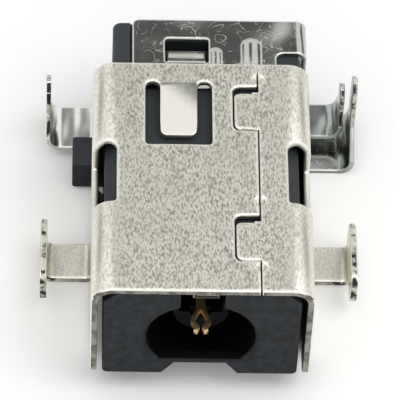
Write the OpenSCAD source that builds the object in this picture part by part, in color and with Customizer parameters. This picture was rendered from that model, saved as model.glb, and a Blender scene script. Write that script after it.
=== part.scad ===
// Board-mount barrel power jack: a moulded housing with a round plug mouth, held in a folded sheet shell.
// Origin: plug axis at the mouth's front face. +X right seen from the front, +Y to the rear, +Z up.

/* [Plug mouth] */
// Radius of the round mouth that takes the plug's barrel
mouth_r = 2.3; // [2.2:0.05:2.4]
// Depth of the mouth behind the front face
mouth_depth = 9.6; // [8.5:0.1:9.8]
// Radial width of the lead-in at the mouth's rim
lead_in = 0.25; // [0.1:0.05:0.35]
// Radius of the post that stands inside the plug's barrel
post_r = 1.2; // [1.05:0.05:1.35]
// How far the post's end lies behind the front face
post_setback = 1.5; // [1.2:0.1:2.5]
// Width of the slot that runs from the mouth up to the housing's top
notch_w = 1.86; // [1.6:0.02:2.2]
// Rear end of that slot's open part
notch_len = 7.0; // [5.5:0.1:7.2]

/* [Folded shell] */
// Overall width of the shell
shell_w = 9.4; // [9.2:0.1:10.2]
// Length of the shell from its front lip to its rear edge
shell_len = 12.2; // [11.9:0.1:12.6]
// Thickness of the shell's sheet
sheet_t = 0.3; // [0.2:0.05:0.35]
// Outer radius of the two long top corners
corner_r = 0.95; // [0.7:0.05:1.1]
// How far the shell's lip stands in front of the housing's face
lip_proud = 0.15; // [0:0.05:0.3]
// Height of the shell's top above the plug axis
top_above_axis = 3.8; // [3.7:0.05:4.1]
// Depth of the plane that the jack rests on, below the plug axis
base_below_axis = 3.77; // [3.7:0.01:4.1]
// Depth of the front tips of the side walls below the plug axis
tip_below_axis = 2.4; // [2.4:0.05:2.5]
// Length of the shallow front tips
tip_len = 1.75; // [1.4:0.05:2.2]
// Rounding of a front tip
tip_r = 0.55; // [0.3:0.05:0.7]
// Front edge of the band that joins the walls underneath
band_front = 8.3; // [8.1:0.1:8.8]
// Width of that band along the jack
band_w = 2; // [1.4:0.1:2.2]

/* [Corner windows] */
// Front end of the window cut across each top corner
window_front = 4.54; // [4:0.05:5]
// Length of a window
window_len = 3.26; // [2.8:0.05:3.6]
// Distance between the windows' inner edges
window_gap = 7.3; // [6.8:0.05:7.6]
// How far a window runs down the side wall from the top
window_drop = 2.1; // [1.4:0.05:2.6]
// Rounding of a window's inner rear corner
window_r = 0.45; // [0.2:0.05:0.6]

/* [Latch tongue] */
// Sideways place of the tongue's middle
latch_x = -1; // [-1.3:0.05:-0.7]
// Length of the opening round the tongue
latch_len = 3.45; // [3.2:0.05:3.7]
// Distance of the slots' rear ends from the shell's rear edge
latch_inset = 1; // [0.8:0.05:1.2]
// Width of the tongue
latch_w = 1.58; // [1.3:0.05:1.8]
// Width of the slot on each side of the tongue
latch_slot = 0.64; // [0.5:0.02:0.7]
// Gap in front of the tongue's free end
latch_gap = 0.65; // [0.4:0.05:0.9]
// Slope of the tongue, down towards its free end, in degrees
latch_tilt = 5; // [2:0.5:7]

/* [Seam] */
// Sideways place of the seam in the shell's top
seam_x = 2.45; // [2.3:0.05:2.6]
// Width of the seam's gap
seam_gap = 0.07; // [0.05:0.01:0.1]
// How far each interlocking tab reaches across the seam
tab_reach = 1.05; // [0.8:0.05:1.2]
// Length of a tab along the jack
tab_len = 2.05; // [1.7:0.05:2.2]
// Front edge of the front tab
tab_front = 1.5; // [1.3:0.05:1.7]
// Distance of the rear tab from the shell's rear edge
tab_inset = 1.55; // [1.4:0.05:1.8]
// Relief gap behind each tab
tab_relief = 0.22; // [0.1:0.02:0.3]
// Rounding of a tab's corners
tab_r = 0.3; // [0.15:0.05:0.4]
// Width of the stake marks that pinch the seam
stake_w = 0.5; // [0.3:0.02:0.6]

/* [Shell legs] */
// Front edge of the arm of each shell leg
arm_front = 5.7; // [5.4:0.05:5.9]
// Width of that arm along the jack
arm_w = 1.9; // [1.6:0.05:2.1]
// Distance from the middle to the outer face of a shell leg
leg_out = 6.9; // [6.7:0.05:7.1]
// Length of the upright plate along the jack
flag_len = 3.55; // [2.8:0.05:3.7]
// Height of the upright plate's top above the arm
flag_h = 2.15; // [1.8:0.05:2.4]
// Bare height between the arm and the plate's free front end
flag_lift = 0.4; // [0.3:0.05:0.6]
// Middle radius of the bends in the legs
bend_r = 0.42; // [0.35:0.01:0.5]

/* [Housing] */
// Width of the housing inside the shell
housing_w = 8.34; // [8.3:0.02:8.6]
// Length of the housing's rear block, behind the shell
block_len = 2.95; // [2.8:0.05:3.1]
// Gap between the housing's top and the shell
top_clear = 0.14; // [0.03:0.01:0.16]
// Bevel along the housing's upper edges
upper_bevel = 0.62; // [0.6:0.02:0.7]
// Depth of the housing's lower shelf below the plug axis
shelf_below_axis = 3.35; // [3.2:0.05:3.4]
// Height of the cut-out under the mouth
recess_h = 0.76; // [0.6:0.02:0.8]
// Width of that cut-out at its top
recess_top_w = 2.2; // [1.8:0.05:2.4]
// Width of that cut-out at the bottom
recess_foot_w = 3.25; // [3:0.05:3.6]
// Depth of that cut-out behind the front face
recess_depth = 0.6; // [0.5:0.05:0.8]
// Thickness of the web left between the cut-out and the mouth
web_t = 0.12; // [0.12:0.01:0.2]
// Reach of the side boss from the shell's wall
boss_reach = 0.86; // [0.6:0.02:1]
// Length of the side boss along the jack
boss_len = 1.6; // [1.3:0.05:1.8]
// Height of the side boss
boss_h = 1.6; // [1.4:0.05:1.7]
// Depth of the boss's top below the plug axis
boss_top_below_axis = 1.96; // [1.9:0.02:2.1]
// Half width of the rear block on the side of the doubled leg
block_right = 4.3; // [4.2:0.02:4.34]
// Half width of the rear block's foot on the side of the boss
block_left = 4.46; // [4.3:0.02:4.6]
// Half width of the rear block's head on that side
head_left = 3.85; // [3.7:0.05:4]
// Depth of the foot's top below the plug axis
head_below_axis = 0.4; // [0.3:0.05:0.8]

/* [Contacts] */
// Thickness of the contact strips
strip_t = 0.22; // [0.18:0.02:0.24]
// Gap between a contact and the housing
fit = 0.04; // [0.02:0.01:0.06]
// Depth of the upper contact's face below the shell's top
plate_drop = 0.63; // [0.6:0.01:0.75]
// How far the upper contact's plate reaches in under the shell
plate_reach = 0.6; // [0.4:0.05:0.7]
// Half width of that plate on the side of the boss
plate_left = 3; // [2.9:0.05:3.2]
// Half width of that plate's front part on the other side
plate_right = 3.3; // [3.2:0.05:3.6]
// Outer face of its flange from the middle
flange_out = 4.64; // [4.6:0.02:4.7]
// Width of its leg along the jack
upper_leg_w = 1.82; // [1.6:0.02:2]
// Outer face of its upright pin from the middle
upper_pin_out = 6.52; // [6.4:0.02:6.56]
// Depth of its arm's underside below the plug axis
upper_arm_below_axis = 2.9; // [2.7:0.05:3]
// Height of its pin's point above the plug axis
upper_pin_top = 0; // [-0.2:0.02:0.4]
// Outer face of the lower contact's pin from the middle
lower_pin_out = 7.06; // [6.9:0.02:7.2]
// Height of the lower contact's pin above the plug axis
lower_pin_top = 0.46; // [0.3:0.02:0.9]
// Width of the lower contact along the jack
lower_w = 3.1; // [3:0.05:3.4]
// End of the lower contact under the housing, from the middle
lower_left = 2.2; // [1.8:0.05:2.4]
// Outer face of the centre contact's pin from the middle
centre_pin_out = 6.76; // [6.6:0.02:6.86]
// Height of the centre contact's pin above the plug axis
centre_pin_top = 0.24; // [-0.2:0.02:0.4]
// Height of its arm above the plane that the jack rests on
centre_arm_lift = 0.5; // [0.3:0.05:0.6]
// Width of the centre contact's strip along the jack
centre_w = 2.3; // [2.2:0.05:2.5]
// Height of the hairpin's upper run above the plug axis
hairpin_top = 0.65; // [0.6:0.01:0.75]
// Depth of the hairpin's lower run below the plug axis
hairpin_bottom = 1.1; // [1:0.02:1.2]
// Outer end of the hairpin from the middle
hairpin_end = 1.2; // [1:0.05:1.3]
// Width of a pin along the jack
pin_w = 1.05; // [0.9:0.05:1.2]
// Distance of the row of pins from the housing's rear face
pin_inset = 1.1; // [1:0.05:1.2]
// Width of the spring fingers
finger_w = 1.1; // [0.8:0.05:1.2]
// Sideways place of the upper finger's middle
finger_x = 0.13; // [0:0.01:0.2]

/* [Hidden] */
$fn = 48;
over = 1;                                     // overshoot of cutting shapes
joint = 0.1;                                  // overlap of solids that are one piece
lap = 0.005;                                  // overlap of a strip's runs with its bends
punch_r = 0.16;                               // rounding of small punched or moulded corners
flag_r = 0.6;                                 // rounding of the upright plates of the shell's legs
boss_gap = 0.12;                              // gap between the boss and its notch in the wall
shell_front = -lip_proud;
shell_rear = shell_front + shell_len;
latch_rear = shell_rear - latch_inset;
latch_front = latch_rear - latch_len;
latch_half = latch_w / 2 + latch_slot;
latch_hinge = latch_rear - joint;             // the tongue slopes down from here
tabs = [tab_front, shell_rear - tab_inset - tab_len];
coin_w = 0.25;                                // width of the strip pressed down along a tab's rear edge
coin_h = 0.1;                                 // its depth
stake_sink = 0.14;                            // depth of a stake mark
stake_gap = 0.35;                             // its distance from the front tab
stakes = [tab_front - stake_gap, tab_front + tab_len + 3 * stake_gap, shell_rear - tab_inset + 2 * stake_gap];
shell_top = top_above_axis;
housing_len = shell_rear + block_len;
pin_row = housing_len - pin_inset;
plate_front = shell_rear - plate_reach;
base = -base_below_axis;
seat = base + sheet_t;                        // board's underside rests here
wall_foot = seat;                             // lower edge of the side walls
half_w = shell_w / 2;
half_in = half_w - sheet_t;
window_in = window_gap / 2;
housing_half = housing_w / 2;
housing_top = shell_top - sheet_t - top_clear;
shelf = -shelf_below_axis;
step_y = tip_len + lip_proud;                 // housing's front foot ends here
block_front = shell_rear + 0.06;
plate_top = shell_top - plate_drop;
plate_mid = plate_top - strip_t / 2;
boss_top = -boss_top_below_axis;
boss_out = half_w + boss_reach;
boss_rear = block_front + 0.3;
leg_rear = housing_len + 0.02;                // rear edge of the upper and lower contacts
strip_mid = base + strip_t / 2;               // middle of strips that lie on the base plane
centre_arm = strip_mid + centre_arm_lift;     // middle of the centre contact's arm
centre_rear = housing_len - 0.05;
upper_front = leg_rear - upper_leg_w;
lower_front = leg_rear - lower_w;
centre_front = centre_rear - centre_w;
plate_seat = plate_top - strip_t - fit;       // housing's surface under the plate
pin_point = 0.35;                             // height of a pin's pointed end
pin_r = 0.6;                                  // middle radius of the bend below a pin
pin_foot = pin_r + joint;                     // height of a leg's full width above its arm
pin_taper = 0.8;                              // height over which it narrows to the pin
fork_t = 0.2;                                 // thickness of a fork beam
fork_h = 0.3;                                 // height of a fork beam
// Corners of a fork beam: distance from the middle and from the fork's back
fork_line = [[0.1, 0], [0.1, 0.2], [0.33, 0.65], [0.33, 0.85], [0.13, 1.1], [0.24, 1.3]];
fork_rise = [0.5, 1.6];                       // where the fork's strip climbs, behind the mouth
fork_root = 0.2;                              // half width of the strip behind the fork
finger_room = 0.15;                           // sideways room of a spring finger
relief_w = 0.25;                              // width of a relief cut beside a leg
relief_top = wall_foot + 0.9;                 // top of a relief cut
panel_step = 0.1;                             // height of the raised panel on the rear face
head_top = plate_top - 0.12;                  // top of the rear block, beside the plate
head_r = 0.4;                                 // rounding of its left corner
corner_rib = 0.7;                             // length of the rib behind the left wall
rib_inset = 0.22;                             // that rib's side, inward from the foot's side
side_rib_r = 0.35;                            // upright round rib on the rear face
side_rib_h = 2.5;                             // its height
foot_r = 0.25;                                // rounding of the housing's lower front corners
shelf_r = 0.6;                                // rounding of its lower corners between the walls
bed_front = latch_rear + 0.05;                // front edge of the plate's bed in the housing
bed_room = 0.08;                              // sideways room round a plate in its bed
tunnel_roof = 0.1;                            // the tunnel's roof, below the plate's seat
tunnel_floor = mouth_r - 0.65;
pocket_h = 0.7;                               // depth of the pocket under the plate's window
strip_r = 0.36;                               // middle radius of the upper contact's bends
finger_r = 0.25;                              // middle radius of the tight bends in the fingers
finger_tip = 0.15;                            // front end of the upper finger
finger_dip = 0.8;                             // its drop from the plate
finger_press_y = 5.2;                         // where it presses on the plug
finger_press = 0.28;                          // how far it stands into the mouth there
finger_rise_y = 1.8;                          // where it is back near the plate's level
finger_sink = 0.08;                           // its front end, below the plate's level
lip_t = 0.16;                                 // turned-up edge at its front end
lip_h = 0.24;
tongue_drop = 0.4;                            // depth of the small tongue in the plate's window
lower_tip = 4;                                // front end of the lower finger's slot
lower_press = 0.2;                            // how far the lower finger stands into the mouth
lower_run = shelf + 0.35;                     // height of the lower finger's long run
lower_rise = 0.6;                             // length over which it climbs to that run
lower_end = 1.6;                              // where the run ends, in front of the mouth's rear end
lower_hook = 1.3;                             // length of its bent-down front end
lower_slot_top = -mouth_r + 2 * lower_press;  // top of its slot under the mouth
fork_back = post_setback + 0.25;               // where the fork's beams leave their strip, inside that cup
kick_x = 2.02;                                // where the hairpin's end kicks up
kick = [-0.33, 0.22];                         // size of that kick
slope_x = 2.7;                                // where the hairpin's lower run turns down
slope_run = 0.92;                             // sideways run of that slope for each unit of drop
plate_margin = 1.05;                          // plate's rear strip, behind its window and its long rib
window_x0 = -1.57;                            // sides of the window in the plate
window_x1 = 0.35;
window_run = 1.4;                             // its length along the jack
window_y1 = leg_rear - plate_margin;
window_y0 = window_y1 - window_run;
panel_left = 2.35;                            // left edge of the raised panel on the rear face
panel_margin = 0.3;                           // its distance from the block's other edges
mark = [2.26, -1.15];                         // small round moulding mark on the rear face
mark_r = 0.28;
mark_depth = 0.25;
cup_r = 0.45;                                 // cup in the post's end
cup_depth = 0.4;
hollow_depth = 1.4;                           // depth of the hollow between the hairpin's runs

// Helpers ------------------------------------------------------------------

function unit(v) = v / norm(v);
// Radius of a ball whose cap is h high and 2 * half wide
function cap_radius(half, h) = (half * half + h * h) / (2 * h);
function corner_half(p, i) = acos(unit(p[i - 1] - p[i]) * unit(p[i + 1] - p[i])) / 2;
function is_inner(p, i) = i > 0 && i < len(p) - 1;
function setback(p, r, i) = is_inner(p, i) ? r[i] / tan(corner_half(p, i)) : 0;

// Section of a bent strip: straight runs between the points p, with bends of middle radius r[i]
module strip_section(p, r, t) {
    for (i = [0 : len(p) - 2]) {
        along = unit(p[i + 1] - p[i]);
        from = p[i] + along * setback(p, r, i);
        to = p[i + 1] - along * setback(p, r, i + 1);
        translate(from)
            rotate(atan2(along.y, along.x))
                translate([-lap, -t / 2])
                    square([norm(to - from) + 2 * lap, t]);
    }
    for (i = [1 : len(p) - 2]) {
        back = unit(p[i - 1] - p[i]);
        ahead = unit(p[i + 1] - p[i]);
        centre = p[i] + unit(back + ahead) * r[i] / sin(corner_half(p, i));
        reach = 4 * (r[i] + t);
        intersection() {
            translate(centre)
                difference() {
                    circle(r[i] + t / 2);
                    circle(r[i] - t / 2);
                }
            polygon([
                centre,
                centre + unit(p[i] + back * setback(p, r, i) - centre) * reach,
                centre + unit(p[i] - centre) * reach * 1.5,
                centre + unit(p[i] + ahead * setback(p, r, i) - centre) * reach
            ]);
        }
    }
}

// What a fillet of radius r adds in a corner that opens towards +X and +Y
module corner_fill(r) {
    difference() {
        translate([-lap, -lap])
            square(r + lap);
        translate([r, r])
            circle(r);
    }
}

// Rectangle with its own radius at each corner: left front, right front, right rear, left rear
module round_rect(x0, y0, x1, y1, r) {
    difference() {
        translate([x0, y0])
            square([x1 - x0, y1 - y0]);
        for (c = [[x0, y0, 1, 1, r[0]], [x1, y0, -1, 1, r[1]], [x1, y1, -1, -1, r[2]], [x0, y1, 1, -1, r[3]]])
            if (c[4] > 0)
                translate([c[0], c[1]])
                    scale_sign(c[2], c[3])
                        corner_fill(c[4]);
    }
}

// Mirrors its children so that their +X and +Y point along sx and sy
module scale_sign(sx, sy) {
    mirror([sx < 0 ? 1 : 0, 0])
        mirror([0, sy < 0 ? 1 : 0])
            children();
}

// A section drawn in X and Z, run along the jack from y0 to y1
module along_jack(y0, y1) {
    translate([0, y1, 0])
        rotate([90, 0, 0])
            linear_extrude(height = y1 - y0)
                children();
}

// An outline drawn in Y and Z, run across the jack from x0 to x1
module across_jack(x0, x1) {
    translate([x0, 0, 0])
        rotate([90, 0, 90])
            linear_extrude(height = x1 - x0)
                children();
}

// An outline drawn in X and Y, run upwards from z0 to z1
module upwards(z0, z1) {
    translate([0, 0, z0])
        linear_extrude(height = z1 - z0)
            children();
}

// Leg outline in Y and Z above an arm at height arm: it narrows to a pin with a pointed end
module pin_outline(y0, y1, arm, top) {
    half = pin_w / 2;
    foot = arm + pin_foot;
    neck = foot + pin_taper;
    polygon([
        [y0, foot - joint], [y1, foot - joint], [y1, foot],
        [pin_row + half, neck], [pin_row + half, top - pin_point],
        [pin_row + half * 0.3, top], [pin_row - half * 0.3, top],
        [pin_row - half, top - pin_point], [pin_row - half, neck],
        [y0, foot]
    ]);
}

// Outer shell --------------------------------------------------------------

// Walls and top, open underneath
module shell_section() {
    difference() {
        round_rect(-half_w, wall_foot, half_w, shell_top, [0, 0, corner_r, corner_r]);
        round_rect(-half_in, wall_foot - over, half_in, shell_top - sheet_t,
            [0, 0, corner_r - sheet_t, corner_r - sheet_t]);
    }
}

// The part of the section that closes underneath
module band_section() {
    difference() {
        round_rect(-half_w, base, half_w, relief_top + joint, [corner_r, corner_r, 0, 0]);
        round_rect(-half_in, seat, half_in, relief_top + over,
            [corner_r - sheet_t, corner_r - sheet_t, 0, 0]);
    }
}

// Side view of the walls: a shallow rounded tip in front, full depth behind
module wall_outline() {
    round_rect(shell_front, -tip_below_axis, shell_front + tip_len, shell_top, [tip_r, tip_r, 0, 0]);
    round_rect(shell_front + tip_len - lap, wall_foot, shell_rear, shell_top, [tip_r, 0, 0, 0]);
    translate([shell_front + tip_len - tip_r - lap, -tip_below_axis + tip_r])
        square(tip_r + 2 * lap);
}

module corner_window() {
    upwards(shell_top - window_drop, shell_top + over)
        round_rect(window_in, window_front, half_w + over, window_front + window_len,
            [punch_r, 0, 0, window_r]);
}

module latch_opening() {
    end_r = latch_slot * 0.49;
    upwards(shell_top - sheet_t - over, shell_top + over)
        translate([latch_x, 0])
            difference() {
                round_rect(-latch_half, latch_front, latch_half, latch_rear,
                    [punch_r, punch_r, end_r, end_r]);
                translate([-latch_w / 2, latch_hinge])
                    square([latch_w, over]);
                // round inner side of the slots' ends
                for (side = [-1, 1])
                    translate([side * latch_w / 2, latch_rear])
                        scale_sign(side, -1)
                            corner_fill(end_r);
            }
}

module latch_tongue() {
    reach = latch_hinge - latch_front - latch_gap;
    translate([latch_x, latch_hinge, shell_top])
        rotate([latch_tilt, 0, 0])
            upwards(-sheet_t, 0)
                round_rect(-latch_w / 2, -reach, latch_w / 2, 0, [2 * punch_r, 2 * punch_r, 0, 0]);
}

// Everything on the tabs' side of the seam, grown by g
module seam_side(g, relief) {
    translate([seam_x - g, shell_front - over])
        square([half_w, shell_len + 2 * over]);
    for (y = tabs)
        round_rect(seam_x - tab_reach - g, y - g, seam_x + tab_r, y + tab_len + g + relief,
            [tab_r, 0, 0, tab_r]);
}

module seam_cut() {
    upwards(shell_top - sheet_t - over, shell_top + over)
        difference() {
            seam_side(seam_gap, tab_relief);
            seam_side(0, 0);
        }
}

// Each tab's rear edge is pressed down along a narrow strip
module coined_edges() {
    upwards(shell_top - coin_h, shell_top + over)
        for (y = tabs)
            round_rect(seam_x - tab_reach - lap, y + tab_len - coin_w, seam_x - tab_r, y + tab_len + joint,
                [0, tab_r / 2, 0, 0]);
}

// Small punch marks that lock the seam
module stake_marks() {
    ball_r = cap_radius(stake_w / 2, stake_sink);
    for (y = stakes)
        translate([seam_x, y, shell_top + ball_r - stake_sink])
            sphere(ball_r);
}

// One shell leg on the right: wall foot, arm and upright plate
module shell_leg() {
    wall_mid = half_w - sheet_t / 2;
    arm_mid = base + sheet_t / 2;
    flag_mid = leg_out - sheet_t / 2;
    along_jack(arm_front, arm_front + arm_w)
        strip_section(
            [[wall_mid, relief_top + joint], [wall_mid, arm_mid],
             [flag_mid, arm_mid], [flag_mid, seat + flag_h / 2]],
            [0, bend_r, bend_r, 0], sheet_t);
    across_jack(leg_out - sheet_t, leg_out)
        round_rect(arm_front + arm_w - flag_len, seat + flag_lift, arm_front + arm_w, seat + flag_h,
            [flag_r, 0, flag_r, flag_r]);
}

module outer_shell() {
    color([0.74, 0.73, 0.68])
        union() {
            difference() {
                intersection() {
                    along_jack(shell_front, shell_rear)
                        shell_section();
                    across_jack(-half_w - over, half_w + over)
                        wall_outline();
                }
                corner_window();
                mirror([1, 0, 0])
                    corner_window();
                latch_opening();
                seam_cut();
                coined_edges();
                stake_marks();
                leg_reliefs();
                boss_notch();
            }
            along_jack(band_front, band_front + band_w)
                band_section();
            latch_tongue();
            shell_leg();
            mirror([1, 0, 0])
                shell_leg();
        }
}

// Relief cuts in the walls beside the legs and the band, which fold away from them
module leg_reliefs() {
    for (side = [-1, 1], strip = [[arm_front, arm_w], [band_front, band_w]])
        translate([side * (half_w - sheet_t / 2) - sheet_t, strip[0] - relief_w, wall_foot - over])
            cube([2 * sheet_t, strip[1] + 2 * relief_w, relief_top - wall_foot + over]);
}

// The left wall stops short of the housing's side boss
module boss_notch() {
    across_jack(-half_w - over, -half_in + joint)
        round_rect(boss_rear - boss_len - boss_gap, wall_foot - over, shell_rear + over, boss_top + boss_gap,
            [0, 0, 0, 2 * punch_r]);
}

// Housing ------------------------------------------------------------------

module housing_body() {
    // front foot round the mouth
    along_jack(0, step_y + 2 * joint)
        housing_section(-tip_below_axis, foot_r);
    // deeper middle between the walls
    along_jack(step_y + joint, block_front + joint)
        housing_section(shelf, shelf_r);
    rear_block();
    side_boss();
}

// Block that closes the rear, with a foot wider than the gap between the walls
module rear_block() {
    along_jack(block_front, housing_len - panel_step) {
        round_rect(-block_left, base + fit, block_right, -head_below_axis, [0, 0, 0, punch_r]);
        round_rect(-head_left, base + fit, block_right, head_top, [0, 0, punch_r, head_r]);
    }
    // rib that closes the corner behind the left wall
    along_jack(block_front, block_front + corner_rib)
        round_rect(-block_left + rib_inset, -head_below_axis - joint, -head_left + joint,
            head_top - head_r - joint, [0, 0, 0, punch_r]);
    // raised panel on the rear face
    along_jack(housing_len - panel_step - joint, housing_len)
        round_rect(-panel_left, base + fit, block_right - panel_margin, plate_seat - panel_margin,
            [0, 0, panel_margin, 0]);
    // upright round rib beside the panel
    translate([-head_left + side_rib_r, housing_len - side_rib_r, -head_below_axis])
        cylinder(h = side_rib_h, r = side_rib_r);
}

// Section of the housing inside the shell, with its foot at z = foot
module housing_section(foot, r) {
    difference() {
        round_rect(-housing_half, foot, housing_half, housing_top, [r, r, 0, 0]);
        for (side = [-1, 1])
            translate([side * housing_half, housing_top])
                rotate(45)
                    square(upper_bevel * sqrt(2), center = true);
    }
}

// Block that stands out through the left wall and keys the jack in its board
module side_boss() {
    along_jack(boss_rear - boss_len, boss_rear)
        round_rect(-boss_out, boss_top - boss_h, -housing_half + foot_r, boss_top, [punch_r, 0, 0, punch_r]);
}

module mouth() {
    difference() {
        union() {
            along_jack(-over, mouth_depth)
                circle(mouth_r);
            translate([0, lead_in, 0])
                rotate([90, 0, 0])
                    cylinder(h = 2 * lead_in, r1 = mouth_r, r2 = mouth_r + 2 * lead_in);
        }
        along_jack(post_setback, mouth_depth + over)
            circle(post_r);
        // web over the cut-out underneath
        translate([-mouth_r, -over, -tip_below_axis - over])
            cube([2 * mouth_r, over + recess_depth, over + recess_h + web_t]);
    }
    // slot up to the housing's top
    translate([-notch_w / 2, -over, 0])
        cube([notch_w, over + notch_len, housing_top + over]);
}

module mouth_recess() {
    ceiling = -tip_below_axis + recess_h;
    along_jack(-over, recess_depth)
        polygon([
            [-recess_foot_w / 2, -tip_below_axis - over], [recess_foot_w / 2, -tip_below_axis - over],
            [recess_foot_w / 2, -tip_below_axis], [recess_top_w / 2, ceiling],
            [-recess_top_w / 2, ceiling], [-recess_foot_w / 2, -tip_below_axis]
        ]);
}

// Bed of the upper contact: the plate's seat and the tunnel of its finger
module upper_bed() {
    translate([-plate_left - bed_room, bed_front, plate_seat])
        cube([plate_left + plate_right + 2 * bed_room, housing_len + over - bed_front, shell_top]);
    translate([0, block_front - joint, plate_seat])
        cube([half_w, housing_len + over, shell_top]);
    translate([-notch_w / 2, notch_len - joint, tunnel_floor])
        cube([notch_w, bed_front - notch_len + 2 * joint, plate_seat - tunnel_floor - tunnel_roof]);
    translate([-notch_w / 2, bed_front - 2 * fit, tunnel_floor])
        cube([notch_w, plate_front - bed_front + 3 * joint, plate_seat - tunnel_floor + joint]);
    // pocket under the plate's window
    translate([window_x0 - fit, window_y0 - fit, plate_seat - pocket_h])
        cube([window_x1 - window_x0 + 2 * fit, window_y1 - window_y0 + 2 * fit, pocket_h + joint]);
}

// Hollow under the latch tongue, which slopes down into it
module latch_hollow() {
    floor_z = shell_top - sheet_t - (latch_rear - latch_front) * sin(latch_tilt) - fit;
    upwards(floor_z, shell_top)
        round_rect(latch_x - latch_half, latch_front - joint, latch_x + latch_half, bed_front + joint,
            [punch_r, punch_r, 0, 0]);
}

// Bed of the lower contact: the relief of its strip and the slot of its finger
module lower_bed() {
    slot_w = finger_w + 2 * finger_room;
    translate([-lower_left - bed_room, lower_front - bed_room, base - over])
        cube([half_w + lower_left + over, lower_w + over, over + strip_t + fit]);
    translate([-slot_w / 2, lower_tip, base - over])
        cube([slot_w, mouth_depth - lower_tip, over + lower_slot_top - base]);
    translate([-slot_w / 2, mouth_depth - joint, base - over])
        cube([slot_w, lower_front - mouth_depth + finger_w / 2, over + lower_run + strip_t + joint - base]);
}

// Slots in the rear face that the centre contact is pressed into
module centre_bed() {
    along_jack(centre_front - joint, housing_len + over)
        strip_section(centre_path(), centre_bends(), strip_t + 2 * fit);
    across_jack(-fork_root - fit, fork_root + fit)
        strip_section(fork_path(), fork_bends(), strip_t + 2 * fit);
    // cup in the post's end round the fork's root
    translate([0, post_setback - joint, 0])
        rotate([-90, 0, 0])
            cylinder(h = cup_depth, r = cup_r);
    // hollow between the hairpin's runs
    along_jack(housing_len - hollow_depth, housing_len + over)
        round_rect(-kick_x, -hairpin_bottom, hairpin_end - hairpin_r(), hairpin_top, [0, punch_r, punch_r, 0]);
}

module housing() {
    color([0.17, 0.18, 0.19])
        difference() {
            housing_body();
            mouth();
            mouth_recess();
            latch_hollow();
            upper_bed();
            lower_bed();
            centre_bed();
            // small round moulding mark
            translate([mark.x, housing_len + over, mark.y])
                rotate([90, 0, 0])
                    cylinder(h = over + mark_depth, r = mark_r);
        }
}

// Contacts -----------------------------------------------------------------

// Strip of the upper contact in X and Z: plate, flange, arm and pin
module upper_leg() {
    flange_mid = flange_out - strip_t / 2;
    arm_mid = -upper_arm_below_axis + strip_t / 2;
    pin_mid = upper_pin_out - strip_t / 2;
    along_jack(upper_front, leg_rear)
        strip_section(
            [[plate_right - 2 * joint, plate_mid], [flange_mid, plate_mid], [flange_mid, arm_mid],
             [pin_mid, arm_mid], [pin_mid, arm_mid + pin_foot]],
            [0, strip_r, strip_r, pin_r, 0], strip_t);
    across_jack(upper_pin_out - strip_t, upper_pin_out)
        pin_outline(upper_front, leg_rear, arm_mid, upper_pin_top);
}

// The finger's route in Y and Z: it dips through the mouth's slot to press on the plug
function upper_route() = [
    [plate_front + 2 * strip_r, plate_mid], [plate_front + joint / 2, plate_mid],
    [plate_front + joint / 2 - finger_dip, plate_mid - finger_dip],
    [finger_press_y, mouth_r - finger_press], [finger_rise_y, plate_mid - finger_sink],
    [finger_tip, plate_mid - finger_sink]
];

module upper_finger() {
    x0 = finger_x - finger_w / 2;
    across_jack(x0, x0 + finger_w)
        strip_section(upper_route(), [0, finger_r, strip_r, 2 * bend_r, 2 * bend_r, 0], strip_t);
    // turned-up edge at the finger's front end
    translate([x0, finger_tip, plate_mid - finger_sink - strip_t / 2])
        cube([lip_t, finger_w, strip_t + lip_h]);
}

module plate_window() {
    upwards(plate_top - strip_t - over, plate_top + over)
        round_rect(window_x0, window_y0, window_x1, window_y1, [punch_r, punch_r, punch_r, punch_r]);
}

// Small tongue cut from the plate and bent down into the window
module plate_tongue() {
    across_jack(window_x0 + joint, window_x1 - 1.5 * joint)
        strip_section(
            [[window_y0 - joint, plate_mid], [window_y0 + joint, plate_mid],
             [window_y0 + joint + tongue_drop, plate_mid - tongue_drop],
             [window_y1 - tongue_drop, plate_mid - tongue_drop]],
            [0, finger_r, finger_r, 0], strip_t);
}

// Embossed ribs of the plate, each with a round end: middle, half width, height and rear end
ribs = [[2.2, 0.42, 0.2, window_y1], [0.64, 0.26, 0.12, window_y1 - window_run * 0.4]];

// One rib as a rod with a ball end, thinner by inset all round
module rib(r, inset) {
    rod_r = cap_radius(r[1], r[2]);
    length = r[3] - r[1] - plate_front;
    translate([r[0], plate_front - inset, plate_top + r[2] - rod_r]) {
        rotate([-90, 0, 0])
            cylinder(h = length + inset, r = rod_r - inset);
        translate([0, length + inset, 0])
            sphere(rod_r - inset);
    }
}

module plate_body() {
    difference() {
        union() {
            upwards(plate_top - strip_t, plate_top)
                union() {
                    round_rect(-plate_left, plate_front, plate_right, leg_rear, [punch_r, punch_r, 0, 2 * punch_r]);
                    translate([plate_right, upper_front])
                        scale_sign(1, -1)
                            corner_fill(2 * punch_r);
                }
            upper_leg();
            intersection() {
                for (r = ribs)
                    rib(r, 0);
                translate([-plate_left, plate_front, plate_top - strip_t])
                    cube([plate_left + plate_right, leg_rear - plate_front, over]);
            }
        }
        plate_window();
        for (r = ribs)
            intersection() {
                rib(r, strip_t);
                translate([-plate_left, plate_front - over, plate_top - strip_t - over])
                    cube([plate_left + plate_right, leg_rear, over + strip_t + r[2]]);
            }
    }
}

module upper_contact() {
    color([0.72, 0.73, 0.73]) {
        plate_body();
        plate_tongue();
        upper_finger();
    }
}

// The finger's route in Y and Z: up from the strip and forward, to press on the plug from below
function lower_route() = [
    [lower_front + strip_r, strip_mid], [lower_front - finger_r, strip_mid],
    [lower_front - finger_r - lower_rise, lower_run], [mouth_depth - lower_end, lower_run + joint],
    [lower_tip + joint + lower_hook, -mouth_r + lower_press], [lower_tip + joint, -mouth_r - lower_press]
];

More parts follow.
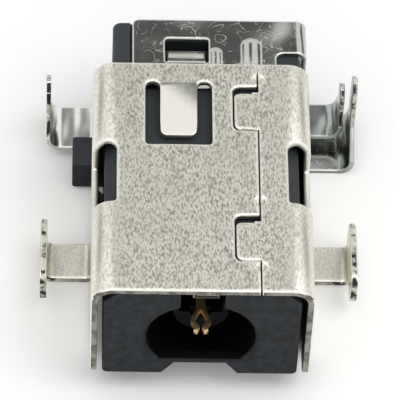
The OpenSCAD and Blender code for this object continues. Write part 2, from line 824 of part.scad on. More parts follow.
module lower_contact() {
    pin_mid = lower_pin_out - strip_t / 2;
    color([0.7, 0.69, 0.65]) {
        along_jack(lower_front, leg_rear)
            strip_section(
                [[-lower_left, strip_mid], [pin_mid, strip_mid], [pin_mid, strip_mid + pin_foot]],
                [0, pin_r, 0], strip_t);
        across_jack(lower_pin_out - strip_t, lower_pin_out)
            pin_outline(lower_front, leg_rear, strip_mid, lower_pin_top);
        across_jack(-finger_w / 2, finger_w / 2)
            strip_section(lower_route(), [0, finger_r, finger_r, 2 * bend_r, bend_r, 0], strip_t);
    }
}

// Strip of the centre contact in X and Z: kicked end, hairpin, slope, arm and pin
function centre_path() = [
    [-kick_x, hairpin_top] + kick, [-kick_x, hairpin_top],
    [hairpin_end - strip_t / 2, hairpin_top], [hairpin_end - strip_t / 2, -hairpin_bottom],
    [-slope_x, -hairpin_bottom], [-slope_x - (-hairpin_bottom - centre_arm) * slope_run, centre_arm],
    [-centre_pin_out + strip_t / 2, centre_arm], [-centre_pin_out + strip_t / 2, centre_arm + pin_foot]
];
function hairpin_r() = (hairpin_top + hairpin_bottom) / 2 - lap;
function centre_bends() = [0, finger_r, hairpin_r(), hairpin_r(), bend_r, bend_r, pin_r, 0];

// Strip that runs forward from the hairpin to the fork, in Y and Z
function fork_path() = [
    [fork_back - joint, 0], [mouth_depth + fork_rise[0], 0],
    [mouth_depth + fork_rise[1], hairpin_top], [centre_front + joint, hairpin_top]
];
function fork_bends() = [0, bend_r, bend_r, 0];

// One beam of the fork in X and Y: it bows out, pinches in and flares at the tip
module fork_beam() {
    strip_section([for (p = fork_line) [p[0], fork_back - p[1]]], [0, 0.2, 0.2, 0.15, 0.1, 0], fork_t);
}

module centre_contact() {
    color([0.78, 0.62, 0.38]) {
        along_jack(centre_front, centre_rear)
            strip_section(centre_path(), centre_bends(), strip_t);
        across_jack(-centre_pin_out, -centre_pin_out + strip_t)
            pin_outline(centre_front, centre_rear, centre_arm, centre_pin_top);
        across_jack(-fork_root, fork_root)
            strip_section(fork_path(), fork_bends(), strip_t);
        upwards(-fork_h / 2, fork_h / 2) {
            fork_beam();
            mirror([1, 0])
                fork_beam();
        }
    }
}

outer_shell();
housing();
upper_contact();
lower_contact();
centre_contact();
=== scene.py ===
"""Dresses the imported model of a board-mount barrel power jack: plated sheet shell, moulded housing and
three spring contacts, in a plain white studio."""

import math

import bpy
from mathutils import Matrix, Vector
from mathutils.geometry import intersect_point_line


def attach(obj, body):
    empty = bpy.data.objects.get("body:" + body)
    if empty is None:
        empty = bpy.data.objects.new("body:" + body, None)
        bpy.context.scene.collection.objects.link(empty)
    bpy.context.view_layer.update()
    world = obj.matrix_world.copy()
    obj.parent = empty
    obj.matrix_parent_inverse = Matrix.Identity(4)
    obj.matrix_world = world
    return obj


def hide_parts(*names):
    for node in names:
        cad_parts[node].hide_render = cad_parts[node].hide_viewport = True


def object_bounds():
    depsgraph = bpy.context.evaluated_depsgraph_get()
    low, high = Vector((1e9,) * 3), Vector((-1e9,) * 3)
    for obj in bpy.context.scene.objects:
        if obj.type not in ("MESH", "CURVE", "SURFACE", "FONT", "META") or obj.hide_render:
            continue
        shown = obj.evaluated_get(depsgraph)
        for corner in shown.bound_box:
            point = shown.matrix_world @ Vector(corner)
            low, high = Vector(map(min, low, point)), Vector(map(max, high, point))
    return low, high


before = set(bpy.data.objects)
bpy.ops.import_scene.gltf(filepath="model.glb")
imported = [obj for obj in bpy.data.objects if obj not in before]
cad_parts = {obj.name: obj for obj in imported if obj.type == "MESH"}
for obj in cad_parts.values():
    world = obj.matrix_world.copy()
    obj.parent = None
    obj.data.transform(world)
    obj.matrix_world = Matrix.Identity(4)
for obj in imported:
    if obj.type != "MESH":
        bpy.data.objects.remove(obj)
cad_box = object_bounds()


# Outer shell ---------------------------------------------------------------------------------------
# One blank of 0.3 mm cold-rolled steel, matt nickel plated, punched and then folded round the housing.
# The plating keeps the mottled grain of the rolled sheet. Punching burnishes the rims of each cut, and
# their lighter colour is partly that burnish and partly a painted highlight.

MM = 0.001
WELD = 0.01 * MM              # corners nearer than this are one
FLAT = math.radians(0.6)      # faces that turn by less are one
SHARP = math.radians(25)      # edges that turn by more are rounded
SMOOTH = math.radians(50)     # edges that turn by less are shaded smooth
TOUCH = 1e-12                 # outlines that cross by less only touch
WIDEST_REACH = 8              # edges are left sharp up to this many widths from a tight place

# Sockets of a Mix node: its factor, two values and two colours going in, and the colour coming out.
FACTOR, VALUE_A, VALUE_B, COLOUR_A, COLOUR_B, MIXED = 0, 2, 3, 6, 7, 2


def linear(code):
    """Linear RGBA of an sRGB hex colour."""
    parts = [int(code[i:i + 2], 16) / 255 for i in (1, 3, 5)]
    return [c / 12.92 if c <= 0.04045 else ((c + 0.055) / 1.055) ** 2.4 for c in parts] + [1]


def add_node(tree, kind, inputs=None, **settings):
    """Adds a shader node with its settings; an input is a plain value or another node's output."""
    node = tree.nodes.new("ShaderNode" + kind)
    for name, value in settings.items():
        setattr(node, name, value)
    for name, value in (inputs or {}).items():
        if isinstance(value, bpy.types.NodeSocket):
            tree.links.new(value, node.inputs[name])
        else:
            node.inputs[name].default_value = value
    return node


def new_material(name):
    """A material with no nodes, and its node tree."""
    material = bpy.data.materials.new(name)
    material.use_nodes = True
    material.node_tree.nodes.clear()
    return material, material.node_tree


def rounded_rims_with_highlight(tree, radius, turn):
    """Rounds the edges in the shading, and masks the rims, where that turns the surface beyond the cosine
    turn. The mask is for rims painted lighter: partly burnish, partly a painted highlight."""
    rounded = add_node(tree, "Bevel", {"Radius": radius}, samples=6)
    flat = add_node(tree, "NewGeometry")
    turned = add_node(tree, "VectorMath", {0: rounded.outputs["Normal"], 1: flat.outputs["Normal"]},
                      operation="DOT_PRODUCT")
    mask = add_node(tree, "MapRange", {
        "Value": turned.outputs["Value"], "From Min": turn, "From Max": 0.95, "To Min": 0, "To Max": 1})
    return rounded, mask


def painted_corner_shade(tree, most):
    """Masks the corners that ambient occlusion finds closed in, up to the level most: painted shade."""
    corner = add_node(tree, "AmbientOcclusion", {"Distance": 0.9 * MM}, samples=8)
    return add_node(tree, "MapRange", {
        "Value": corner.outputs["AO"], "From Min": 0.85, "From Max": 0.35, "To Min": 0, "To Max": most})


def crossings(mesh):
    """Places where the outline of a flat face runs over itself."""
    def side(p, q, r):
        return (q.x - p.x) * (r.y - p.y) - (q.y - p.y) * (r.x - p.x)

    places = []
    for face in mesh.polygons:
        level = face.normal.rotation_difference(Vector((0, 0, 1)))
        corners = [mesh.vertices[i].co for i in face.vertices]
        flat = [level @ (corner / MM) for corner in corners]
        for i in range(len(flat)):
            a, b = flat[i - 1], flat[i]
            for j in range(i + 2, len(flat) + min(i - 1, 0)):
                c, d = flat[j - 1], flat[j]
                before, after = side(c, d, a), side(c, d, b)
                if before * after < -TOUCH and side(a, b, c) * side(a, b, d) < -TOUCH:
                    places.append(corners[i - 1].lerp(corners[i], before / (before - after)))
    return places


def rounded_copy(node, name, materials, edge, tight):
    """A welded copy of a CAD node. Its sharp edges are rounded to the width edge and take the last
    material, apart from those within reach of the tight places."""
    piece = bpy.data.objects.new(name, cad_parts[node].data.copy())
    bpy.context.scene.collection.objects.link(piece)
    bpy.ops.object.select_all(action="DESELECT")
    piece.select_set(True)
    bpy.context.view_layer.objects.active = piece
    bpy.ops.object.mode_set(mode="EDIT")
    bpy.ops.mesh.select_all(action="SELECT")
    bpy.ops.mesh.customdata_custom_splitnormals_clear()
    bpy.ops.mesh.remove_doubles(threshold=WELD)
    bpy.ops.mesh.dissolve_limited(angle_limit=FLAT)
    bpy.ops.mesh.select_mode(type="EDGE")
    bpy.ops.mesh.select_all(action="DESELECT")
    bpy.ops.mesh.edges_select_sharp(sharpness=SHARP)
    bpy.ops.object.mode_set(mode="OBJECT")
    mesh = piece.data
    mesh.materials.clear()
    for material in materials:
        mesh.materials.append(material)
    for line in mesh.edges:
        start, end = (mesh.vertices[i].co for i in line.vertices)
        for spot, reach in tight:
            along = intersect_point_line(spot, start, end)[1]
            if (start.lerp(end, min(1, max(0, along))) - spot).length < reach:
                line.select = False
    for face in mesh.polygons:
        face.select = False
    bpy.ops.object.mode_set(mode="EDIT")
    bpy.ops.mesh.bevel(offset=edge, segments=2, clamp_overlap=False, loop_slide=False,
                       material=len(materials) - 1)
    bpy.ops.object.mode_set(mode="OBJECT")
    return piece


def dress(node, name, materials, edge):
    """Stands a copy of a CAD node in its place, with its sharp edges rounded wherever two roundings don't
    run into each other. Each try leaves more edges sharp round the places where they did."""
    piece, tight = None, []
    for reach in range(2, WIDEST_REACH + 1):
        if piece:
            bpy.data.objects.remove(piece)
        piece = rounded_copy(node, name, materials, edge, tight)
        places = crossings(piece.data)
        if not places:
            break
        tight += [(place, reach * edge) for place in places]
    bpy.ops.object.shade_smooth_by_angle(angle=SMOOTH)
    flats = piece.modifiers.new("flat_faces", "WEIGHTED_NORMAL")
    flats.keep_sharp = True
    bpy.ops.object.modifier_apply(modifier=flats.name)
    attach(piece, "root")
    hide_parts(node)
    return piece


# Matt nickel plate on rolled steel: a pale warm metal, broken up by fine dark pits drawn out along the
# sheet. The pits are drawn at twice their real size of some 0.05 mm, so that they show. Bending and wear
# have half smoothed them away on the bends and the arms. The corners carry painted shade, and the rims
# are painted lighter, partly as burnish and partly as a painted highlight.
plated_steel, tree = new_material("matt_nickel_plated_steel")
place = add_node(tree, "TexCoord")
along = add_node(tree, "Mapping", {"Vector": place.outputs["Object"], "Scale": (1, 0.42, 1)})
pits = add_node(tree, "TexNoise", {
    "Vector": along.outputs["Vector"], "Scale": 1 / (0.085 * MM), "Detail": 2, "Roughness": 0.7})
clouds = add_node(tree, "TexNoise", {
    "Vector": place.outputs["Object"], "Scale": 1 / (1.6 * MM), "Detail": 2})
where = add_node(tree, "SeparateXYZ", {0: place.outputs["Object"]})
off_middle = add_node(tree, "Math", {0: where.outputs["X"]}, operation="ABSOLUTE")
kept = add_node(tree, "MapRange", {
    "Value": off_middle.outputs[0], "From Min": 3.2 * MM, "From Max": 4.4 * MM, "To Min": 1,
    "To Max": 0.35})
pit_depth = add_node(tree, "MapRange", {
    "Value": pits.outputs["Fac"], "From Min": 0.59, "From Max": 0.36, "To Min": 0, "To Max": 1})
pitted = add_node(tree, "Math", {0: pit_depth.outputs["Result"], 1: kept.outputs["Result"]},
                  operation="MULTIPLY")
grain = add_node(tree, "Mix", {
    FACTOR: pitted.outputs[0], COLOUR_A: linear("#F6F4E8"), COLOUR_B: linear("#7F7C71")},
    data_type="RGBA")
shade = add_node(tree, "MapRange", {
    "Value": clouds.outputs["Fac"], "From Min": 0.3, "From Max": 0.7, "To Min": 0, "To Max": 0.3})
tinted = add_node(tree, "Mix", {
    FACTOR: shade.outputs["Result"], COLOUR_A: grain.outputs[MIXED], COLOUR_B: linear("#C9C6B8")},
    data_type="RGBA")
# Painted shade: the plate darkens where its corners close in.
corner_shade = painted_corner_shade(tree, 0.75)
corner_shaded = add_node(tree, "Mix", {
    FACTOR: corner_shade.outputs["Result"], COLOUR_A: tinted.outputs[MIXED], COLOUR_B: linear("#4A4842")},
    data_type="RGBA")
# The rims are burnished, and painted lighter still: a painted highlight.
rounded, rim_burnish_and_highlight = rounded_rims_with_highlight(tree, 0.22 * MM, 0.997)
colour = add_node(tree, "Mix", {
    FACTOR: rim_burnish_and_highlight.outputs["Result"], COLOUR_A: corner_shaded.outputs[MIXED], COLOUR_B: linear("#F4F2E8")},
    data_type="RGBA")
matt = add_node(tree, "MapRange", {"Value": pitted.outputs[0], "To Min": 0.34, "To Max": 0.5})
gloss = add_node(tree, "Mix", {
    FACTOR: rim_burnish_and_highlight.outputs["Result"], VALUE_A: matt.outputs["Result"], VALUE_B: 0.5})
relief = add_node(tree, "Bump", {
    "Strength": 0.3, "Distance": 0.01 * MM, "Height": pits.outputs["Fac"],
    "Normal": rounded.outputs["Normal"]})
metal = add_node(tree, "BsdfPrincipled", {
    "Base Color": colour.outputs[MIXED], "Metallic": 1, "Roughness": gloss.outputs[0],
    "Normal": relief.outputs["Normal"]})
add_node(tree, "OutputMaterial", {"Surface": metal.outputs["BSDF"]})

# Sheared edges are grey and rough, where the plate is torn and bare metal shows. On the upright plates
# and the pins they are blotched, half burnished by the punch and half broken off.
bare_edge, tree = new_material("sheared_bare_edge")
place = add_node(tree, "TexCoord")
where = add_node(tree, "SeparateXYZ", {0: place.outputs["Object"]})
off_middle = add_node(tree, "Math", {0: where.outputs["X"]}, operation="ABSOLUTE")
outer = add_node(tree, "MapRange", {
    "Value": off_middle.outputs[0], "From Min": 5 * MM, "From Max": 6.3 * MM, "To Min": 0, "To Max": 1})
torn = add_node(tree, "TexNoise", {
    "Vector": place.outputs["Object"], "Scale": 1 / (0.4 * MM), "Detail": 3})
burnish = add_node(tree, "MapRange", {
    "Value": torn.outputs["Fac"], "From Min": 0.42, "From Max": 0.58, "To Min": 0, "To Max": 1})
even = add_node(tree, "Mix", {
    FACTOR: burnish.outputs["Result"], COLOUR_A: linear("#6F6D66"), COLOUR_B: linear("#A09E94")},
    data_type="RGBA")
blotched = add_node(tree, "Mix", {
    FACTOR: burnish.outputs["Result"], COLOUR_A: linear("#35332F"), COLOUR_B: linear("#DCDACE")},
    data_type="RGBA")
colour = add_node(tree, "Mix", {
    FACTOR: outer.outputs["Result"], COLOUR_A: even.outputs[MIXED], COLOUR_B: blotched.outputs[MIXED]},
    data_type="RGBA")
relief = add_node(tree, "Bump", {
    "Strength": 0.4, "Distance": 0.01 * MM, "Height": torn.outputs["Fac"]})
metal = add_node(tree, "BsdfPrincipled", {
    "Base Color": colour.outputs[MIXED], "Metallic": 1, "Roughness": 0.45,
    "Normal": relief.outputs["Normal"]})
add_node(tree, "OutputMaterial", {"Surface": metal.outputs["BSDF"]})

# The skin that faces the housing is painted dark, as the shade in the narrow gap between them, and rough.
inner_gap_shade, tree = new_material("inner_skin_painted_shade")
place = add_node(tree, "TexCoord")
mottle = add_node(tree, "TexNoise", {
    "Vector": place.outputs["Object"], "Scale": 1 / (0.9 * MM), "Detail": 3})
colour = add_node(tree, "Mix", {
    FACTOR: mottle.outputs["Fac"], COLOUR_A: linear("#34322E"), COLOUR_B: linear("#4E4B45")},
    data_type="RGBA")
metal = add_node(tree, "BsdfPrincipled", {
    "Base Color": colour.outputs[MIXED], "Metallic": 1, "Roughness": 0.55})
add_node(tree, "OutputMaterial", {"Surface": metal.outputs["BSDF"]})

# The same plate where the punch and the bending tool have rubbed it smooth: brighter, with faint streaks.
rubbed_plate, tree = new_material("rubbed_nickel_plate")
place = add_node(tree, "TexCoord")
streaks = add_node(tree, "TexNoise", {
    "Vector": place.outputs["Object"], "Scale": 1 / (0.3 * MM), "Detail": 2})
gloss = add_node(tree, "MapRange", {"Value": streaks.outputs["Fac"], "To Min": 0.12, "To Max": 0.24})
colour = add_node(tree, "Mix", {
    FACTOR: streaks.outputs["Fac"], COLOUR_A: linear("#F1EFE6"), COLOUR_B: linear("#F9F7F0")},
    data_type="RGBA")
metal = add_node(tree, "BsdfPrincipled", {
    "Base Color": colour.outputs[MIXED], "Metallic": 1, "Roughness": gloss.outputs["Result"]})
add_node(tree, "OutputMaterial", {"Surface": metal.outputs["BSDF"]})

shell_finish = [plated_steel, bare_edge, inner_gap_shade, rubbed_plate]
PLATED, SHEARED, GAP_SHADE, RUBBED = range(4)      # their places on the shell
shell = dress("outer_shell", "folded_shell", shell_finish, edge=0.05 * MM)

# The latch tongue is rubbed smooth all over by the tool that sets its slope. The front lip, the rims of
# the legs' upright plates and the fronts of their arms are sheared edges, and the skin that faces the
# housing is painted dark, as the shade of the gap.
for face in shell.data.polygons:
    x, y, z = face.center / MM
    facing = face.normal
    within_walls = abs(x) < 4.6
    tongue = abs(x + 1) < 0.8 and 8.2 < y < 10.95 and z > 3 and 0.99 < abs(facing.z) < 0.9975
    front_lip = within_walls and z < 3.6 and y < 0.1 and facing.y < -0.3
    front_end = y < 0.02 and facing.y < -0.95
    upright_rim = abs(x) > 6.5 and abs(facing.x) < 0.1 and face.material_index == PLATED
    arm_front = abs(x) > 4.8 and facing.y < -0.6
    # The skin that faces the housing gets a painted shade, dark as the gap it faces.
    inner_side = within_walls and z < 3.55 and (x * facing.x < -3.5 or z * facing.z < -2.9)
    if tongue:
        face.material_index = RUBBED
    elif front_lip or front_end or upright_rim or arm_front:
        face.material_index = SHEARED
    elif inner_side:
        face.material_index = GAP_SHADE


# Housing -------------------------------------------------------------------------------------------
# One black moulding in glass-filled nylon that carries the mouth, the post and the beds of the contacts.
# Its skin is a little cloudy, where glass fibres lie just under the surface. Faces that look up are
# painted lighter, as light from above, and the mouth and the slot above it are painted near black, as
# the shade in those recesses.

MOUTH_REACH = 2.34 * MM                        # just outside the mouth's wall
MOUTH_FRONT, MOUTH_END = 0.14 * MM, 11 * MM
SLOT_REACH, SLOT_END = 0.96 * MM, 7.5 * MM     # the slot above the mouth, a little outside its walls

nylon, tree = new_material("black_glass_filled_nylon")
place = add_node(tree, "TexCoord")
flow = add_node(tree, "TexNoise", {
    "Vector": place.outputs["Object"], "Scale": 1 / (0.5 * MM), "Detail": 4, "Roughness": 0.65})
fibres = add_node(tree, "TexNoise", {
    "Vector": place.outputs["Object"], "Scale": 1 / (0.09 * MM), "Detail": 2})
cloudy = add_node(tree, "MapRange", {
    "Value": flow.outputs["Fac"], "From Min": 0.35, "From Max": 0.65, "To Min": 0, "To Max": 1})
skin = add_node(tree, "Mix", {
    FACTOR: cloudy.outputs["Result"], COLOUR_A: linear("#1B1E20"), COLOUR_B: linear("#303438")},
    data_type="RGBA")
flat = add_node(tree, "NewGeometry")
facing = add_node(tree, "SeparateXYZ", {0: flat.outputs["Normal"]})
# Painted light: faces that look up are lighter, as lit from above.
painted_top_light = add_node(tree, "MapRange", {
    "Value": facing.outputs["Z"], "From Min": 0.3, "From Max": 0.9, "To Min": 0, "To Max": 0.8})
top_lit_skin = add_node(tree, "Mix", {
    FACTOR: painted_top_light.outputs["Result"], COLOUR_A: skin.outputs[MIXED], COLOUR_B: linear("#404447")},
    data_type="RGBA")
across = add_node(tree, "VectorMath", {0: place.outputs["Object"], 1: (1, 0, 1)}, operation="MULTIPLY")
off_axis = add_node(tree, "VectorMath", {0: across.outputs["Vector"]}, operation="LENGTH")
where = add_node(tree, "SeparateXYZ", {0: place.outputs["Object"]})
off_middle = add_node(tree, "Math", {0: where.outputs["X"]}, operation="ABSOLUTE")
in_mouth = add_node(tree, "Math", {0: off_axis.outputs["Value"], 1: MOUTH_REACH}, operation="LESS_THAN")
between = add_node(tree, "Math", {0: off_middle.outputs[0], 1: SLOT_REACH}, operation="LESS_THAN")
upper = add_node(tree, "Math", {0: where.outputs["Z"], 1: 0}, operation="GREATER_THAN")
front = add_node(tree, "Math", {0: where.outputs["Y"], 1: SLOT_END}, operation="LESS_THAN")
over_mouth = add_node(tree, "Math", {0: between.outputs[0], 1: upper.outputs[0]}, operation="MULTIPLY")
in_slot = add_node(tree, "Math", {0: over_mouth.outputs[0], 1: front.outputs[0]}, operation="MULTIPLY")
in_either = add_node(tree, "Math", {0: in_mouth.outputs[0], 1: in_slot.outputs[0]}, operation="MAXIMUM")
deep = add_node(tree, "Math", {0: where.outputs["Y"], 1: MOUTH_FRONT}, operation="GREATER_THAN")
shallow = add_node(tree, "Math", {0: where.outputs["Y"], 1: MOUTH_END}, operation="LESS_THAN")
in_depth = add_node(tree, "Math", {0: deep.outputs[0], 1: shallow.outputs[0]}, operation="MULTIPLY")
painted_mouth_shade = add_node(tree, "Math", {0: in_either.outputs[0], 1: in_depth.outputs[0]}, operation="MULTIPLY")
# Painted shade: the mouth and the slot above it are near black, as the shade in those recesses.
shown = add_node(tree, "Mix", {
    FACTOR: painted_mouth_shade.outputs[0], COLOUR_A: top_lit_skin.outputs[MIXED], COLOUR_B: linear("#080809")},
    data_type="RGBA")
sheen = add_node(tree, "MapRange", {
    "Value": fibres.outputs["Fac"], "From Min": 0.3, "From Max": 0.7, "To Min": 0.42, "To Max": 0.62})
relief = add_node(tree, "Bump", {
    "Strength": 0.3, "Distance": 0.01 * MM, "Height": fibres.outputs["Fac"]})
plastic = add_node(tree, "BsdfPrincipled", {
    "Base Color": shown.outputs[MIXED], "Roughness": sheen.outputs["Result"], "IOR": 1.53,
    "Specular IOR Level": 0.15, "Normal": relief.outputs["Normal"]})
add_node(tree, "OutputMaterial", {"Surface": plastic.outputs["BSDF"]})

dress("housing", "moulded_housing", [nylon], edge=0.04 * MM)


# Contacts ------------------------------------------------------------------------------------------
# Three strips of 0.22 mm spring bronze, bright nickel plated, punched and bent, then pressed into the
# housing from behind. They are smoother than the shell and carry fine scuffs from the feeding rails.

# Bright nickel on bronze: a satin mirror, slightly wavy from bending. Two sets of hair-fine scuffs follow
# the contour lines of a noise, in patches.
bright, tree = new_material("bright_nickel_plated_bronze")
place = add_node(tree, "TexCoord")
scuffs = []
for size, lines, shift in ((1.1, 16, 0), (0.7, 9, 4)):
    moved = add_node(tree, "Mapping", {"Vector": place.outputs["Object"], "Location": (shift, 0, 0)})
    hills = add_node(tree, "TexNoise", {
        "Vector": moved.outputs["Vector"], "Scale": 1 / (size * MM), "Detail": 1, "Distortion": 0.4})
    steps = add_node(tree, "Math", {0: hills.outputs["Fac"], 1: lines}, operation="MULTIPLY")
    height = add_node(tree, "Math", {0: steps.outputs[0], 1: 1}, operation="PINGPONG")
    hair = add_node(tree, "MapRange", {
        "Value": height.outputs[0], "From Min": 0.12, "From Max": 0.02, "To Min": 0, "To Max": 0.7})
    patches = add_node(tree, "TexNoise", {
        "Vector": moved.outputs["Vector"], "Scale": 1 / (0.8 * MM), "Detail": 2})
    worn = add_node(tree, "MapRange", {
        "Value": patches.outputs["Fac"], "From Min": 0.44, "From Max": 0.58, "To Min": 0, "To Max": 1})
    scuffs.append(add_node(tree, "Math", {0: hair.outputs["Result"], 1: worn.outputs["Result"]},
                           operation="MULTIPLY"))
scuff = add_node(tree, "Math", {0: scuffs[0].outputs[0], 1: scuffs[1].outputs[0]}, operation="MAXIMUM")
# The rims are burnished, and painted near white: a painted highlight.
rounded, rim_burnish_and_highlight = rounded_rims_with_highlight(tree, 0.12 * MM, 0.995)
waves = add_node(tree, "TexNoise", {
    "Vector": place.outputs["Object"], "Scale": 1 / (2.6 * MM), "Detail": 0})
uneven = add_node(tree, "Bump", {
    "Strength": 1, "Distance": 0.22 * MM, "Height": waves.outputs["Fac"],
    "Normal": rounded.outputs["Normal"]})
scuffed = add_node(tree, "Mix", {
    FACTOR: scuff.outputs[0], COLOUR_A: linear("#C2C5BF"), COLOUR_B: linear("#E8E8E2")},
    data_type="RGBA")
colour = add_node(tree, "Mix", {
    FACTOR: rim_burnish_and_highlight.outputs["Result"], COLOUR_A: scuffed.outputs[MIXED], COLOUR_B: linear("#FAFAF6")},
    data_type="RGBA")
satin = add_node(tree, "MapRange", {"Value": scuff.outputs[0], "To Min": 0.14, "To Max": 0.38})
gloss = add_node(tree, "Mix", {
    FACTOR: rim_burnish_and_highlight.outputs["Result"], VALUE_A: satin.outputs["Result"], VALUE_B: 0.6})
metal = add_node(tree, "BsdfPrincipled", {
    "Base Color": colour.outputs[MIXED], "Metallic": 1, "Roughness": gloss.outputs[0],
    "Normal": uneven.outputs["Normal"]})
add_node(tree, "OutputMaterial", {"Surface": metal.outputs["BSDF"]})

# Bare bronze, tarnished brown, where the finger that meets the plug's sleeve has been cut off last.
bare_bronze, tree = new_material("sheared_bare_bronze")
place = add_node(tree, "TexCoord")
tarnish = add_node(tree, "TexNoise", {
    "Vector": place.outputs["Object"], "Scale": 1 / (0.1 * MM), "Detail": 2})
colour = add_node(tree, "Mix", {
    FACTOR: tarnish.outputs["Fac"], COLOUR_A: linear("#2A2622"), COLOUR_B: linear("#4A423A")},
    data_type="RGBA")
metal = add_node(tree, "BsdfPrincipled", {
    "Base Color": colour.outputs[MIXED], "Metallic": 1, "Roughness": 0.5})
add_node(tree, "OutputMaterial", {"Surface": metal.outputs["BSDF"]})

# The legs and pins are dipped in tin to take the solder: whiter and satin, with the waves of the melt.
# The tin is darker towards the right-hand side, and its corners carry painted shade.
tinned, tree = new_material("dip_tinned_bronze")
place = add_node(tree, "TexCoord")
drawn = add_node(tree, "Mapping", {
    "Vector": place.outputs["Object"], "Location": (0.01, 0, 0), "Scale": (1.3, 0.7, 1)})
melt = add_node(tree, "TexNoise", {
    "Vector": drawn.outputs["Vector"], "Scale": 1 / (1.7 * MM), "Detail": 1})
rounded = add_node(tree, "Bevel", {"Radius": 0.12 * MM}, samples=6)
uneven = add_node(tree, "Bump", {
    "Strength": 1, "Distance": 0.2 * MM, "Height": melt.outputs["Fac"],
    "Normal": rounded.outputs["Normal"]})
where = add_node(tree, "SeparateXYZ", {0: place.outputs["Object"]})
# Darker towards the right-hand side.
towards_right = add_node(tree, "MapRange", {
    "Value": where.outputs["X"], "From Min": -2 * MM, "From Max": 4 * MM, "To Min": 0, "To Max": 1})
tin = add_node(tree, "Mix", {
    FACTOR: towards_right.outputs["Result"], COLOUR_A: linear("#F0F0EA"), COLOUR_B: linear("#B4B8B4")},
    data_type="RGBA")
# Painted shade: the tin darkens where its corners close in.
corner_shade = painted_corner_shade(tree, 0.8)
colour = add_node(tree, "Mix", {
    FACTOR: corner_shade.outputs["Result"], COLOUR_A: tin.outputs[MIXED], COLOUR_B: linear("#3A3A38")},
    data_type="RGBA")
metal = add_node(tree, "BsdfPrincipled", {
    "Base Color": colour.outputs[MIXED], "Metallic": 1, "Roughness": 0.22,
    "Normal": uneven.outputs["Normal"]})
add_node(tree, "OutputMaterial", {"Surface": metal.outputs["BSDF"]})

# A thin flash of gold over the nickel, on the part that stands in the mouth and grips the plug's pin.
gold, tree = new_material("gold_flash")
place = add_node(tree, "TexCoord")
wear = add_node(tree, "TexNoise", {
    "Vector": place.outputs["Object"], "Scale": 1 / (0.4 * MM), "Detail": 2})
colour = add_node(tree, "Mix", {
    FACTOR: wear.outputs["Fac"], COLOUR_A: linear("#DDB47A"), COLOUR_B: linear("#FBE3B6")},
    data_type="RGBA")
metal = add_node(tree, "BsdfPrincipled", {
    "Base Color": colour.outputs[MIXED], "Metallic": 1, "Roughness": 0.42})
add_node(tree, "OutputMaterial", {"Surface": metal.outputs["BSDF"]})

contact_finish = [bare_bronze, bare_edge, tinned, bright]
fork_finish = [gold, bare_edge, tinned, bright]
TIP, SHEARED, TINNED, BRIGHT = range(4)        # their places on a contact
finger = dress("upper_contact", "ground_contact", contact_finish, edge=0.035 * MM)
sleeve = dress("lower_contact", "sleeve_contact", contact_finish, edge=0.035 * MM)
fork = dress("centre_contact", "fork_contact", fork_finish, edge=0.03 * MM)

# The rims of the pins are sheared, all that stands out beside the housing is tinned, and the rest is
# bright, apart from the finger's cut end and the gold on the fork.
for contact in (finger, sleeve, fork):
    for face in contact.data.polygons:
        x, y, z = face.center / MM
        pin_rim = abs(x) > 6 and z > -2.4 and abs(face.normal.x) < 0.2 and face.material_index == TIP
        cut_end = contact == finger and y <= 0.3 and face.normal.y <= -0.95
        if pin_rim:
            face.material_index = SHEARED
        elif abs(x) > 4.6:
            face.material_index = TINNED
        elif not cut_end:
            face.material_index = BRIGHT
for face in fork.data.polygons:
    if face.center.y < 9 * MM:
        face.material_index = TIP


# Studio --------------------------------------------------------------------------------------------
# White floor that the jack rests on, white surroundings, two soft lamps, and grey cards for the metal
# to mirror.

def looking_rays(tree):
    """One for rays that look, from the camera or by way of a mirror or glass, and zero for those that
    carry light."""
    rays = add_node(tree, "LightPath")
    direct = add_node(tree, "Math", {
        0: rays.outputs["Is Camera Ray"], 1: rays.outputs["Is Glossy Ray"]}, operation="ADD")
    return add_node(tree, "Math", {
        0: direct.outputs[0], 1: rays.outputs["Is Transmission Ray"]}, operation="ADD", use_clamp=True)


def direction(azimuth, elevation):
    """Unit vector from an azimuth, turned to the right from the front, and an elevation, in degrees."""
    a, e = math.radians(azimuth), math.radians(elevation)
    return Vector((math.sin(a) * math.cos(e), -math.cos(a) * math.cos(e), math.sin(e)))


FLOOR_GAP = 0.005 * MM
LAMP_DISTANCE, LAMP_SIZE = 0.4, 0.25           # metres
CARD_DISTANCE = 0.6                            # metres, further off than any camera

bpy.ops.object.select_all(action="DESELECT")
bpy.ops.mesh.primitive_plane_add(size=4, location=(0, 0, cad_box[0].z - FLOOR_GAP))
floor = bpy.context.active_object
floor.name = "studio_floor"
paper, tree = new_material("white_paper")
sheet = add_node(tree, "BsdfDiffuse", {"Color": linear("#FAFAFA"), "Roughness": 0.9})
looked_at = looking_rays(tree)
glow_level = add_node(tree, "MapRange", {"Value": looked_at.outputs[0], "To Min": 0, "To Max": 0.09})
glow = add_node(tree, "Emission", {"Color": (1, 1, 1, 1), "Strength": glow_level.outputs["Result"]})
both = add_node(tree, "AddShader", {0: sheet.outputs["BSDF"], 1: glow.outputs["Emission"]})
add_node(tree, "OutputMaterial", {"Surface": both.outputs["Shader"]})
floor.data.materials.append(paper)

world = bpy.data.worlds.new("white_surroundings")
bpy.context.scene.world = world
world.use_nodes = True
tree = world.node_tree
tree.nodes.clear()
looked_at = looking_rays(tree)
level = add_node(tree, "MapRange", {"Value": looked_at.outputs[0], "To Min": 0.62, "To Max": 1})
sky = add_node(tree, "Background", {"Color": (1, 1, 1, 1), "Strength": level.outputs["Result"]})
add_node(tree, "OutputWorld", {"Surface": sky.outputs["Background"]})

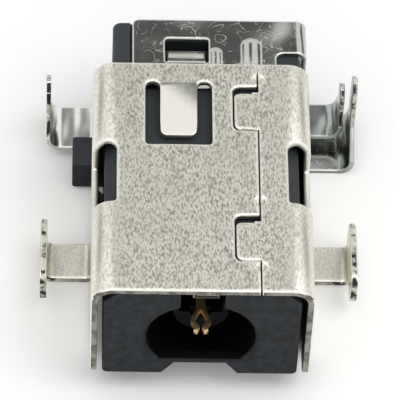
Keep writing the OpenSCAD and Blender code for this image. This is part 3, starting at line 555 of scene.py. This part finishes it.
centre = (cad_box[0] + cad_box[1]) / 2
for name, azimuth, elevation, power in (("key_lamp", 70, 62, 0.5), ("fill_lamp", -60, 66, 0.2)):
    away = direction(azimuth, elevation)
    lamp = bpy.data.lights.new(name, "AREA")
    lamp.size = LAMP_SIZE
    lamp.energy = power
    holder = bpy.data.objects.new(name, lamp)
    holder.location = centre + away * LAMP_DISTANCE
    holder.rotation_euler = (-away).to_track_quat("-Z", "Y").to_euler()
    bpy.context.scene.collection.objects.link(holder)

# One card stands behind the jack and one to each side. Only mirrors see them.
board, tree = new_material("grey_board")
tone = add_node(tree, "Emission", {"Color": linear("#5C5C5C"), "Strength": 1})
add_node(tree, "OutputMaterial", {"Surface": tone.outputs["Emission"]})
for name, azimuth, elevation, size in (
        ("rear_card", 180, 49, 0.19), ("left_card", -127, 6, 0.3), ("right_card", 127, 6, 0.3)):
    away = direction(azimuth, elevation)
    bpy.ops.mesh.primitive_plane_add(size=size)
    card = bpy.context.active_object
    card.name = name
    card.location = centre + away * CARD_DISTANCE
    card.rotation_euler = away.to_track_quat("Z", "Y").to_euler()
    card.visible_diffuse = card.visible_shadow = card.visible_camera = False
    card.data.materials.append(board)


# Camera --------------------------------------------------------------------------------------------
# Long lens, from the front and above, turned a little about its own line of sight.

CAMERA_AZIMUTH, CAMERA_ELEVATION, CAMERA_ROLL = -2.95, 53.2, 3.1
CAMERA_DISTANCE = 172.9 * MM
CAMERA_MIDDLE = Vector((0, 6, 0.2)) * MM       # the point that the distance is measured from
CAMERA_AIM = Vector((0, 7.1, 0.5)) * MM

camera = bpy.data.objects.new("camera", bpy.data.cameras.new("camera"))
bpy.context.scene.collection.objects.link(camera)
camera.data.lens = 360
camera.data.clip_start, camera.data.clip_end = 0.01, 10
camera.location = CAMERA_MIDDLE + direction(CAMERA_AZIMUTH, CAMERA_ELEVATION) * CAMERA_DISTANCE
level_turn = (CAMERA_AIM - camera.location).to_track_quat("-Z", "Y").to_matrix()
roll_turn = Matrix.Rotation(math.radians(CAMERA_ROLL), 3, "Z")
camera.rotation_euler = (level_turn @ roll_turn).to_euler()
bpy.context.scene.camera = camera
bpy.context.scene.view_settings.view_transform = "Standard"
